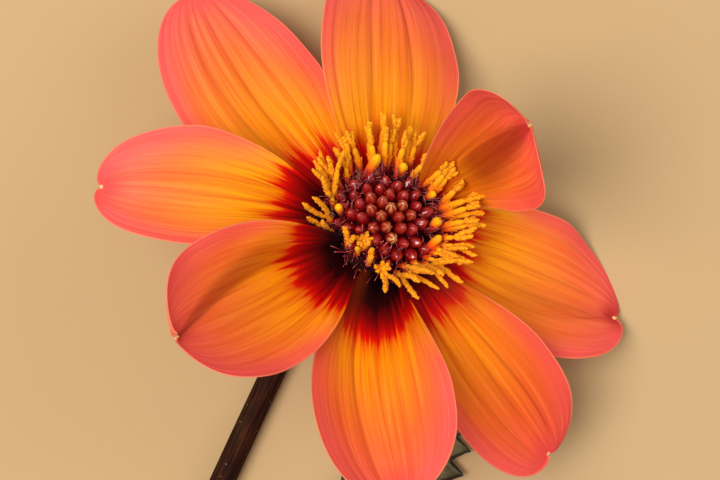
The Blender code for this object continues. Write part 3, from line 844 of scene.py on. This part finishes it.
def floret_tube(shape, start, ahead, bend, length, radius, lobe_length, colours=(0.0, 0.85)):
    """A corolla tube that widens to a mouth with five pointed lobes; returns where it ends."""
    steps, sides = 14, 15
    path = arc_path(start, ahead, bend, length, steps)
    marks = np.linspace(0, 1, steps + 1)
    radii = radius * (0.55 + 0.25 * marks + 0.35 * smooth(0.45, 0.95, marks))
    flutes = 1 + 0.07 * np.cos(5 * around(sides))
    shape.add(*tube(path, radii[:, None] * flutes, sides),
              along=ring_values(mix(colours, marks), sides), pollen=0.0)
    direction, side, up = (axis[-1] for axis in path_frames(path))
    mouth = path[-1] - direction * 0.15 * MM
    for k in range(5):
        angle = 2 * pi * k / 5
        outward = side * cos(angle) + up * sin(angle)
        foot = mouth + outward * radii[-1] * 0.72
        lobe = arc_path(foot, direction + outward * 0.15, outward * 0.9, lobe_length, 5)
        sideways = np.cross(direction, outward)
        widths = np.array((0.50, 0.60, 0.56, 0.40, 0.24, 0.04)) * radius * 1.05
        grid = lobe[:, None] + widths[:, None, None] * np.linspace(-1, 1, 5)[None, :, None] * sideways
        grid = grid + direction * (0.12 * radius * (np.linspace(-1, 1, 5) ** 2))[None, :, None]
        level = np.repeat(np.linspace(colours[1], colours[1] + 0.15, 6), 5)
        shape.add(*sheet(grid[:, ::-1], 0.12 * MM), along=both_sides(level), pollen=0.0)
    return path[-1], direction, side, up


def style_arm(shape, start, ahead, bend, length, radius, noise_rng, fuzz=1.0):
    """One arm of a forked style: knobbly where fuzz is high, and dusted with pollen."""
    steps, sides = 26, 10
    path = arc_path(start, ahead, bend, length, steps)
    marks = np.linspace(0, 1, steps + 1)
    wobble = noise_rng.normal(0, 1, (steps + 1, 3))
    wobble = (wobble + np.roll(wobble, 1, 0) + np.roll(wobble, 2, 0)) / 3
    path = path + wobble * 0.09 * MM * smooth(0, 0.3, marks)[:, None]
    thick = radius * (0.62 + 0.38 * smooth(0, 0.25, marks)) * (1 - 0.45 * smooth(0.8, 1.0, marks))
    lumps = 1 + fuzz * noise_rng.uniform(-0.16, 0.12, (steps + 1, sides))
    hairs = noise_rng.random((steps + 1, sides)) > 0.82
    radii = thick[:, None] * (lumps + 0.5 * fuzz * hairs)
    radii[-1] = thick[-1] * 0.6
    shape.add(*tube(path, radii, sides), along=ring_values(0.75 + 0.2 * marks, sides),
              pollen=ring_values(0.35 + 0.6 * smooth(0, 0.2, marks), sides))


def bump(angle, middle, width):
    """1 at a middle azimuth, falling to 0 over a width; all in degrees."""
    away = (degrees(angle) - middle + 180) % 360 - 180
    return exp(-(away / width) ** 2)


def build_open_floret(number, material):
    """One CAD floret in bloom, with companions beside it where the ring is crowded.

    The ring leans: on one side long forked styles rise and turn along the disc, and on the far
    side the florets crowd and point outward, each with a thick anther column and short arms.
    """
    shape = Shape()
    own = np.random.default_rng(SEED + 100 + number)
    k = number - 1
    azimuth = 2 * pi * k / OPEN_FLORETS
    nearest = max(RAY_FLORETS, key=lambda petal: cos(radians(petal.azimuth) - azimuth))
    finish = max(34 + 12 * cos(1.7 * k), nearest.lift[0] + 14)
    upright = bump(azimuth, 160, 24)
    turning = radians(-62 * bump(azimuth, 118, 38) + 48 * bump(azimuth, 215, 34))
    crowd = cos(azimuth - radians(-10))
    dense = smooth(-0.1, 0.5, crowd)
    together = 3 if crowd > 0.2 else 2 if crowd > -0.2 else 1
    if bump(azimuth, 52, 14) > 0.5:
        together = 1
    if bump(azimuth, 222, 26) > 0.4:
        together = 2
    for companion in range(together):
        angle = azimuth + companion * radians(5.5) + own.uniform(-0.05, 0.05)
        foot = OPEN_FLORET_RADIUS + (0.55 + 0.55 * dense - 0.55 * companion) * MM
        base = receptacle_height(min(foot, 8.3 * MM)) + 0.3 * MM
        slope = radians(own.uniform(70, 84) + 8 * upright - 8 * dense)
        start = np.array((foot, 0, base))
        ahead = np.array((cos(slope), own.uniform(-0.15, 0.15), sin(slope)))
        outward = radians(mix((finish + own.uniform(-8, 12), 84), upright))
        bend = np.array((cos(outward), own.uniform(-0.25, 0.25), sin(outward) - 0.65)) * 0.9
        bend = turned(bend, turning)
        if upright > 0.4:
            bend = bend * 0.2 + np.array((-0.15, 0, 0.2))
        tube_length = mix((own.uniform(3.0, 3.8), own.uniform(4.2, 5.2)), dense) * MM
        points = [turned(value, angle) for value in (start, ahead, bend)]
        end, direction, side, up = floret_tube(shape, *points, tube_length,
                                               mix((0.42, 0.54), dense) * MM, 0.60 * MM,
                                               (0.0, mix((0.50, 0.70), dense)))

        column_length = mix((own.uniform(0.8, 1.4), own.uniform(2.2, 3.4)), dense) * MM
        column = arc_path(end - direction * 0.6 * MM, direction, points[2] * 0.25,
                          column_length + 0.6 * MM, 10)
        marks = np.linspace(0, 1, 11)
        ridged = 1 + 0.12 * np.cos(5 * around(15))
        column_radius = mix((0.34, 0.47), dense) * MM * (1 + 0.1 * marks)
        column_radius = column_radius * np.sqrt(1 - smooth(0.62, 1.06, marks) ** 2)
        shape.add(*tube(column, column_radius[:, None] * ridged, 15),
                  along=ring_values(0.66 + 0.3 * marks, 15), pollen=0.25)

        fork = own.uniform(0, pi)
        apart = side * cos(fork) + up * sin(fork)
        for way in (-1, 1):
            spread = mix((own.uniform(0.28, 0.60), own.uniform(0.10, 0.35)), dense)
            arm = direction + apart * way * spread
            curl = apart * way * own.uniform(-0.6, 0.3) + points[2] * own.uniform(0.1, 0.6)
            length = mix((own.uniform(4.6, 7.0), own.uniform(2.2, 3.8)), dense)
            length *= (1 - 0.45 * upright) * MM
            style_arm(shape, column[-1] - direction * 0.2 * MM, arm, curl, length,
                      own.uniform(0.33, 0.43) * MM, own, mix((0.75, 0.9), dense))
    shape.piece(f"floret_{number:02d}", material, HEAD,
                [f"disc_floret_{number:02d}"])


def build_opening_floret(number, opening, material):
    """A floret that is just opening among the outer buds: a ribbed tube with a golden tip."""
    shape = Shape()
    own = np.random.default_rng(SEED + 200 + number)
    azimuth = radians(opening.azimuth)
    radius = opening.radius * MM
    start = np.array((radius * cos(azimuth), radius * sin(azimuth), dome_height(radius) - 0.9 * MM))
    leans = radians(opening.leans)
    slope = radians(opening.slope)
    ahead = np.array((cos(slope) * cos(leans), cos(slope) * sin(leans), sin(slope)))
    steps, sides = 26, 20
    path = arc_path(start, ahead, (0, 0, 0.25), (opening.length + 0.9) * MM, steps)
    marks = np.linspace(0, 1, steps + 1)
    swell = 0.55 + 0.45 * smooth(0.1, 0.75, marks)
    closing = np.sqrt(np.clip(1 - smooth(0.80, 1.04, marks) ** 1.6, 0.02, 1))
    ribs = np.abs(np.sin(2.5 * around(sides))) ** 0.7
    fluted = 1 - 0.13 * (1 - ribs)[None, :] * smooth(0.3, 0.95, marks)[:, None]
    shape.add(*tube(path, opening.width * MM * (swell * closing)[:, None] * fluted, sides),
              along=ring_values(0.20 + 0.80 * marks ** 1.7, sides), pollen=0.0)
    if opening.burst:
        direction, side, up = (axis[-1] for axis in path_frames(path))
        for k in range(7):
            angle = 2 * pi * k / 7 + own.uniform(-0.3, 0.3)
            outward = side * cos(angle) + up * sin(angle)
            foot = path[-3] + outward * 0.35 * MM
            style_arm(shape, foot, direction + outward * 0.9, outward * own.uniform(0.2, 1.2),
                      own.uniform(0.9, 1.7) * MM, 0.30 * MM, own)
    shape.piece(f"opening_{number}", material, HEAD, [f"opening_floret_{number}"])


def build_chaff():
    """Thin curled filaments between the buds and the florets in bloom."""
    shape = Shape()
    own = np.random.default_rng(SEED + 300)
    for _ in range(CHAFF_COUNT):
        azimuth = own.uniform(0, 2 * pi)
        radius = own.uniform(5.8, 9.4) * MM
        base = max(dome_height(radius), receptacle_height(min(radius, 8.5 * MM))) - 0.5 * MM
        start = np.array((radius, 0, base))
        ahead = (own.uniform(-0.3, 0.7), own.uniform(-0.5, 0.5), 1.0)
        bend = (own.uniform(-1.6, 2.2), own.uniform(-2.0, 2.0), own.uniform(-1.2, 0.2))
        path = arc_path(start, ahead, bend, own.uniform(2.0, 4.4) * MM, 9)
        marks = np.linspace(0, 1, 10)
        radii = own.uniform(0.11, 0.20) * MM * (1 - 0.7 * marks)
        shape.add(*tube(turned(path, azimuth), radii, 6), along=ring_values(marks, 6))
    shape.piece("chaff", chaff_material(), HEAD)


# ---- back of the head --------------------------------------------------------------------------
# Places along a bract, and its width there as a share of the widest that the CAD has.
INNER_BRACT_OUTLINE = ((0, 0.2, 0.4, 0.6, 0.8, 0.93, 1.0),
                       (1.45, 1.55, 1.35, 1.02, 0.75, 0.45, 0.06))
OUTER_BRACT_OUTLINE = ((0, 0.17, 0.33, 0.5, 0.67, 0.83, 0.95, 1.0),
                       (0.70, 0.95, 1.0, 0.92, 0.75, 0.50, 0.22, 0.03))
OUTER_BRACT_FOOT = (7.7 * MM, 0, -4.35 * MM)
OUTER_BRACT_SLOPES = (-8, -46)  # degrees, at its foot and its tip


def build_receptacle(material):
    """The squat swollen stem end: faint ribs that run from the stem to its rim."""
    rings, sides = 40, 120
    polar = np.linspace(0.02, pi - 0.02, rings)
    angles = around(sides)
    ribs = 1 + 0.018 * np.cos(13 * angles)[None, :] * np.sin(polar)[:, None] ** 2
    radius = RECEPTACLE_RADIUS * np.sin(polar)[:, None] * ribs
    level = -RECEPTACLE_DROP - RECEPTACLE_HALF_HEIGHT * np.cos(polar)[:, None] * ribs
    points = rings_round_axis(radius, angles, level)
    vertices, faces = shell(points, points[0].mean(0), points[-1].mean(0))
    across = np.concatenate([np.tile(np.cos(angles * 2) * 3, rings), [0, 0]])
    # inner is painted shade: the top, which lies under the disc and the petals, turns dark maroon
    one_piece("flower_base", material, "receptacle", HEAD, ["receptacle"], vertices, faces,
              along=ring_values(polar, sides, (0, pi)), across=across, rim=9.0,
              inner=smooth(-4.6 * MM, -3.4 * MM, vertices[:, 2]))


def build_inner_bract(number, petal, material):
    """A thin bract under a petal's base, following its underside."""
    marks = np.linspace(0, 1, 30)
    spread = np.linspace(-1, 1, 19)
    share = np.interp(marks, *INNER_BRACT_OUTLINE)
    u, across = np.meshgrid(INNER_BRACT_REACH * marks, spread, indexing="ij")
    half = INNER_BRACT_HALF_WIDTH * share[:, None]
    petal_half = petal.half_width * petal_width(petal, u)
    v = across * half / (petal_half * MM)
    sideways, height = petal_section(petal, u, v, petal_half, below=INNER_BRACT_BELOW)
    height = height - 0.10 * MM * np.exp(-(across / 0.12) ** 2) + 0.04 * MM * np.cos(across * 22)
    points = petal_points(petal, u, sideways, height)
    vertices, faces = sheet(points, (0.42 - 0.26 * np.abs(across) ** 3) * MM)
    rim = (1 - np.abs(across)) * half / MM
    # painted shade: dark maroon over one side, and over the other side near the foot
    painted_foot_shade = 1 - 0.85 * smooth(0.45, 0.80, u / INNER_BRACT_REACH).reshape(-1)
    one_piece(f"bract_inner_{number}", material, "bract", HEAD, [f"inner_bract_{number}"],
              vertices, faces, along=both_sides(u), across=both_sides(across),
              rim=both_sides(rim), inner=np.concatenate([np.ones(u.size), painted_foot_shade]))


def build_outer_bract(number, material):
    """A narrow green bract that spreads and bends back behind the head."""
    rows = 44
    marks = np.linspace(0, 1, rows)
    place = np.array(OUTER_BRACT_FOOT)
    grid = []
    rims = []
    widths = np.interp(marks, *OUTER_BRACT_OUTLINE)
    across = np.linspace(-1, 1, 21)
    for mark, width in zip(marks, widths):
        slope = radians(mix(OUTER_BRACT_SLOPES, mark))
        half = OUTER_BRACT_HALF_WIDTH * width
        out = np.array((-sin(slope), 0, cos(slope)))
        rise = 0.25 * half * across ** 2 - 0.16 * MM * np.exp(-(across / 0.10) ** 2) * width
        rise = rise + 0.05 * MM * np.cos(across * 20) * width
        bend = 0.25 * MM * sin(5 * mark + number)
        grid.append(place + np.stack([0 * across, half * across + bend * mark, 0 * across], -1)
                    + out * rise[:, None])
        rims.append((1 - np.abs(across)) * half / MM)
        place = place + np.array((cos(slope), 0, sin(slope))) * (OUTER_BRACT_LENGTH / (rows - 1))
    points = turned(np.array(grid), 2 * pi * (number - 1) / OUTER_BRACTS)
    vertices, faces = sheet(points, (0.5 - 0.3 * np.abs(across) ** 3) * MM)
    u = np.repeat(marks[:, None], 21, axis=1)
    # painted shade: one side dark maroon near the foot, where it lies against the head
    painted_bract_shade = np.concatenate([1 - smooth(0.60, 0.90, u).reshape(-1), np.zeros(u.size)])
    one_piece(f"bract_outer_{number}", material, "bract", HEAD, [f"outer_bract_{number}"],
              vertices, faces, along=both_sides(u), across=both_sides(np.tile(across, rows)),
              rim=both_sides(rims), inner=painted_bract_shade)


# ---- stem and leaf -----------------------------------------------------------------------------
def bezier(points, t):
    """A point on the Bezier curve through the first and last of its points."""
    while len(points) > 1:
        points = [a.lerp(b, t) for a, b in zip(points, points[1:])]
    return points[0]


# The cut end, from its hollow middle out: the ring's share of the stem's radius, how deep it
# lies (mm), and its place in the colours of the cut (1 in the hollow, 0 on the stem's skin).
STEM_CUT_RINGS = ((0.18, 2.4, 1.0), (0.34, 1.6, 1.0), (0.38, 0.25, 0.93), (0.46, 0.0, 0.85),
                  (0.60, 0.03, 0.70), (0.74, 0.0, 0.45), (0.86, -0.06, 0.30), (0.93, 0.0, 0.15))
STEM_CUT_SLANT = radians(25)
NECK = -30 * MM                 # where the stem starts to bend up, from under the head


def stem_line():
    """The stem's centreline and radii, in the frame whose origin is under the head."""
    head = GROUND.inverted() @ HEAD
    axis = head.to_3x3() @ Vector((0, 0, 1))
    top = head @ Vector((0, 0, receptacle_height(0, -1) + 0.5 * MM))
    neck = Vector((NECK, STEM_SIDE, STEM_RADIUS))
    centres, radii = [], []
    straight = 230
    for i in range(straight):
        share = i / straight
        x = -STEM_LENGTH + (STEM_LENGTH + NECK) * share
        radius = mix((STEM_CUT_RADIUS, STEM_RADIUS), share)
        from_node = (x + NODE_DISTANCE) / (3.2 * MM)
        radius += 0.7 * MM / (1 + from_node ** 4)
        centres.append(Vector((x, STEM_SIDE - 1.2 * MM * (1 - share) ** 2, radius)))
        radii.append(radius)
    handles = [neck, neck + Vector((16 * MM, 0, 0)), top - axis * (8 * MM), top]
    bends = 110
    for i in range(bends + 1):
        share = i / bends
        centres.append(bezier(handles, share))
        radii.append(STEM_RADIUS * (1 - 0.12 * sin(pi * share)) + 0.9 * MM * share ** 6)
    return np.array(centres), np.array(radii)


def build_stem():
    """The stem: fine ridges, a scarred node, and a slanting hollow cut end."""
    centres, radii = stem_line()
    sides = 64
    distance = np.concatenate([[0], np.cumsum(np.linalg.norm(np.diff(centres, axis=0), axis=1))])
    angles = around(sides)
    phases = np.random.default_rng(SEED + 400).uniform(0, 2 * pi, 4)
    ridges = (np.cos(8 * angles + phases[0])[None, :]
              + 0.6 * np.cos(13 * angles + phases[1])[None, :]
              * np.sin(distance * 60 + phases[2])[:, None])
    lumps = np.sin(distance * 210 + phases[3])[:, None] * np.cos(3 * angles)[None, :]
    at_node = np.exp(-((centres[:, 0] + NODE_DISTANCE) / (0.7 * MM)) ** 2)[:, None]
    rings = radii[:, None] * (1 + 0.018 * ridges + 0.008 * lumps - 0.05 * at_node)
    ahead, side, up = path_frames(centres)
    points = rings_along(centres, side, up, rings, angles)
    slant = np.exp(-distance / (3 * MM))[:, None] * np.sin(angles)[None, :] * radii[0]
    points = points + ahead[:, None] * (slant * sin(STEM_CUT_SLANT))[..., None]
    points[..., 2] = np.maximum(points[..., 2], 0.02 * MM)

    middle = points[0].mean(0)
    inner = np.array([middle + (points[0] - middle) * share + ahead[0] * depth * MM
                      for share, depth, _ in STEM_CUT_RINGS])
    everything = np.concatenate([inner, points])
    vertices, faces = shell(everything, inner[0].mean(0), points[-1].mean(0))
    ends = (1.0, 0.0)
    along = np.concatenate([np.zeros(len(inner)), distance / (60 * MM)])
    cut = np.concatenate([[pith for _, _, pith in STEM_CUT_RINGS], np.zeros(len(centres))])
    turn = np.tile(np.abs(angles / pi - 1), len(everything))
    one_piece("flower_stem", stem_material(), "stem", GROUND, ["stem"], vertices, faces,
              along=ring_values(along, sides, ends), around=np.concatenate([turn, ends]),
              cut=ring_values(cut, sides, ends))


# The leaf's two sides: how much wider than in the CAD, and how much of a tooth's depth is cut in.
# The first shows between two petals, so it is the wider and the deeper cut.
LEAF_SIDES = ((1.6 * MM, 2.1), (-0.8 * MM, 0.9))


def leaf_axis(share):
    """Place of the leaf's midrib at a share of its length: out from the node, then along it."""
    route = [Vector((-96, 1.4, 2.6)), Vector((-62, -24, 0.6)), Vector((-11, -24, 0.45))]
    return bezier(route, share) * MM


def leaf_half_width(share):
    """Half the leaf's width: a thin stalk, then an egg-shaped blade that runs to a point."""
    blade = max(0.0, (share - PETIOLE_SHARE) / (1 - PETIOLE_SHARE))
    outline = sin(pi * blade ** 0.78) ** 0.85 if 0 < blade < 1 else 0.0
    return max(PETIOLE_RADIUS, LEAF_HALF_WIDTH * outline)


def tooth(distance):
    """How far the margin is cut in: teeth that point to the leaf's tip."""
    phase = (distance / TOOTH_PITCH) % 1.0
    if phase > 0.22:
        return TOOTH_DEPTH * ((1 - phase) / 0.78) ** 0.8
    return TOOTH_DEPTH * (phase / 0.22)


def build_leaf():
    """The leaf: a stalk that spreads into a toothed blade, with a net of sunken veins."""
    rows, columns = 330, 41
    v = np.linspace(-1, 1, columns)
    grid, rims, veins, thicks = [], [], [], []
    travelled = 0.0
    before = leaf_axis(0)
    for i in range(rows):
        share = i / (rows - 1)
        centre = leaf_axis(share)
        travelled += (centre - before).length
        before = centre
        ahead = (leaf_axis(min(1, share + 0.01)) - leaf_axis(max(0, share - 0.01))).normalized()
        across = np.array((-ahead.y, ahead.x, 0))
        across = across / np.linalg.norm(across)
        full = leaf_half_width(share)
        blade = min(1.0, max(0.0, (full - PETIOLE_RADIUS) / (4 * MM)))
        halves = [max(0.5 * MM, full + (wider - toothed * tooth(travelled)) * blade)
                  for wider, toothed in LEAF_SIDES]
        half = np.where(v < 0, *halves)
        lateral = half * v
        rise = 0.16 * np.abs(v) * (full - PETIOLE_RADIUS)
        rise = rise + 0.5 * MM * np.abs(v) ** 3 * (1 + sin(9 * share * pi))
        offset = np.abs(lateral) * 0.55
        phase = ((travelled - offset) / TOOTH_PITCH + 0.1 * (v > 0)) % 1.0
        side_vein = np.exp(-((phase - 0.5) * TOOTH_PITCH / (0.30 * MM)) ** 2) * blade
        mid_vein = np.exp(-(lateral / (0.45 * MM)) ** 2)
        puff = 0.14 * MM * np.cos(2 * pi * phase) * blade * (1 - np.abs(v) ** 4)
        net = 0.03 * MM * np.sin(lateral * 5200 + 3 * i * 0.4) * np.sin(travelled * 4700) * blade
        rise = rise + puff + net - 0.22 * MM * mid_vein * blade
        grid.append(np.array(centre) + across * lateral[:, None]
                    + np.array((0, 0, 1.0)) * rise[:, None])
        rims.append((half - np.abs(lateral)) / MM + (1 - blade) * 3)
        veins.append(np.maximum(side_vein * 0.8, mid_vein * blade))
        stalk = 1.3 * MM * (1 - blade) * np.sqrt(np.clip(1 - v ** 2, 0.03, 1))
        thicks.append(stalk + blade * 0.55 * MM)
    grid = np.array(grid)
    thickness = np.array(thicks)
    grid[..., 2] = np.maximum(grid[..., 2], thickness / 2 + 0.1 * MM)
    vertices, faces = sheet(grid, thickness)
    one_piece("toothed_leaf", leaf_material(), "leaf", GROUND, ["leaf"], vertices, faces,
              rim=both_sides(rims), vein=both_sides(veins))


# ---- stage -------------------------------------------------------------------------------------
CAMERA_HEIGHT = 300 * MM         # above the head's centre
CAMERA_AXIS = Vector((-4.48, 2.51, 0)) * MM    # where its axis passes the head's centre
CAMERA_TURN = radians(-65)
CAMERA_LENS = 90.0
FLOOR_REACH = 1.5               # half the floor's side


def build_camera():
    """Straight down on the head, turned so that the stem runs to the lower left."""
    data = bpy.data.cameras.new("camera")
    data.lens = CAMERA_LENS
    data.sensor_width = 36.0
    data.clip_start = 0.01
    camera = bpy.data.objects.new("camera", data)
    camera.location = HEAD_CENTRE + CAMERA_AXIS + Vector((0, 0, CAMERA_HEIGHT))
    camera.rotation_euler = (0, 0, CAMERA_TURN)
    bpy.context.scene.collection.objects.link(camera)
    bpy.context.scene.camera = camera


def area_light(name, azimuth, elevation, distance, size, power, colour):
    """A soft square light that faces the head."""
    data = bpy.data.lights.new(name, "AREA")
    data.size = size
    data.energy = power
    data.color = colour
    light = bpy.data.objects.new(name, data)
    away = Vector((cos(elevation) * cos(azimuth), cos(elevation) * sin(azimuth), sin(elevation)))
    light.location = HEAD_CENTRE + away * distance
    light.rotation_euler = away.to_track_quat("Z", "Y").to_euler()
    bpy.context.scene.collection.objects.link(light)


def build_lights():
    """A broad key from the picture's left, a weaker fill opposite, and a pale sky."""
    area_light("key", azimuth=radians(118), elevation=radians(66), distance=0.85, size=0.5,
               power=7.4, colour=(1.0, 0.97, 0.93))
    area_light("fill", azimuth=radians(-50), elevation=radians(40), distance=0.90, size=0.6,
               power=1.6, colour=(1.0, 0.96, 0.92))
    world = bpy.data.worlds.new("world")
    world.use_nodes = True
    background = world.node_tree.nodes["Background"]
    background.inputs["Color"].default_value = (1.0, 0.96, 0.90, 1.0)
    background.inputs["Strength"].default_value = 0.42
    bpy.context.scene.world = world
    bpy.context.scene.view_settings.view_transform = "Standard"


def build_floor():
    """A plain pale surface under the flower."""
    mesh = bpy.data.meshes.new("floor")
    reach = FLOOR_REACH
    mesh.from_pydata([(-reach, -reach, 0), (reach, -reach, 0), (reach, reach, 0),
                      (-reach, reach, 0)], [], [(0, 1, 2, 3)])
    mesh.materials.append(floor_material())
    floor = bpy.data.objects.new("floor", mesh)
    bpy.context.scene.collection.objects.link(floor)


build_camera()
build_lights()
build_floor()
for index, (ray, look) in enumerate(zip(RAY_FLORETS, LOOKS), 1):
    build_petal(index, ray, look)
build_disc_ground()
build_buds()
floret_look = floret_material()
for index in range(1, OPEN_FLORETS + 1):
    build_open_floret(index, floret_look)
for index, half_open in enumerate(OPENINGS, 1):
    build_opening_floret(index, half_open, floret_look)
build_chaff()
build_receptacle(green_material("flower_base", (70, 78, 34), (118, 128, 58), (92, 62, 34)))
bract_look = green_material("bract", (74, 88, 36), (134, 146, 66), (110, 66, 38))
for index, ray in enumerate(RAY_FLORETS, 1):
    build_inner_bract(index, ray, bract_look)
for index in range(1, OUTER_BRACTS + 1):
    build_outer_bract(index, bract_look)
build_stem()
build_leaf()
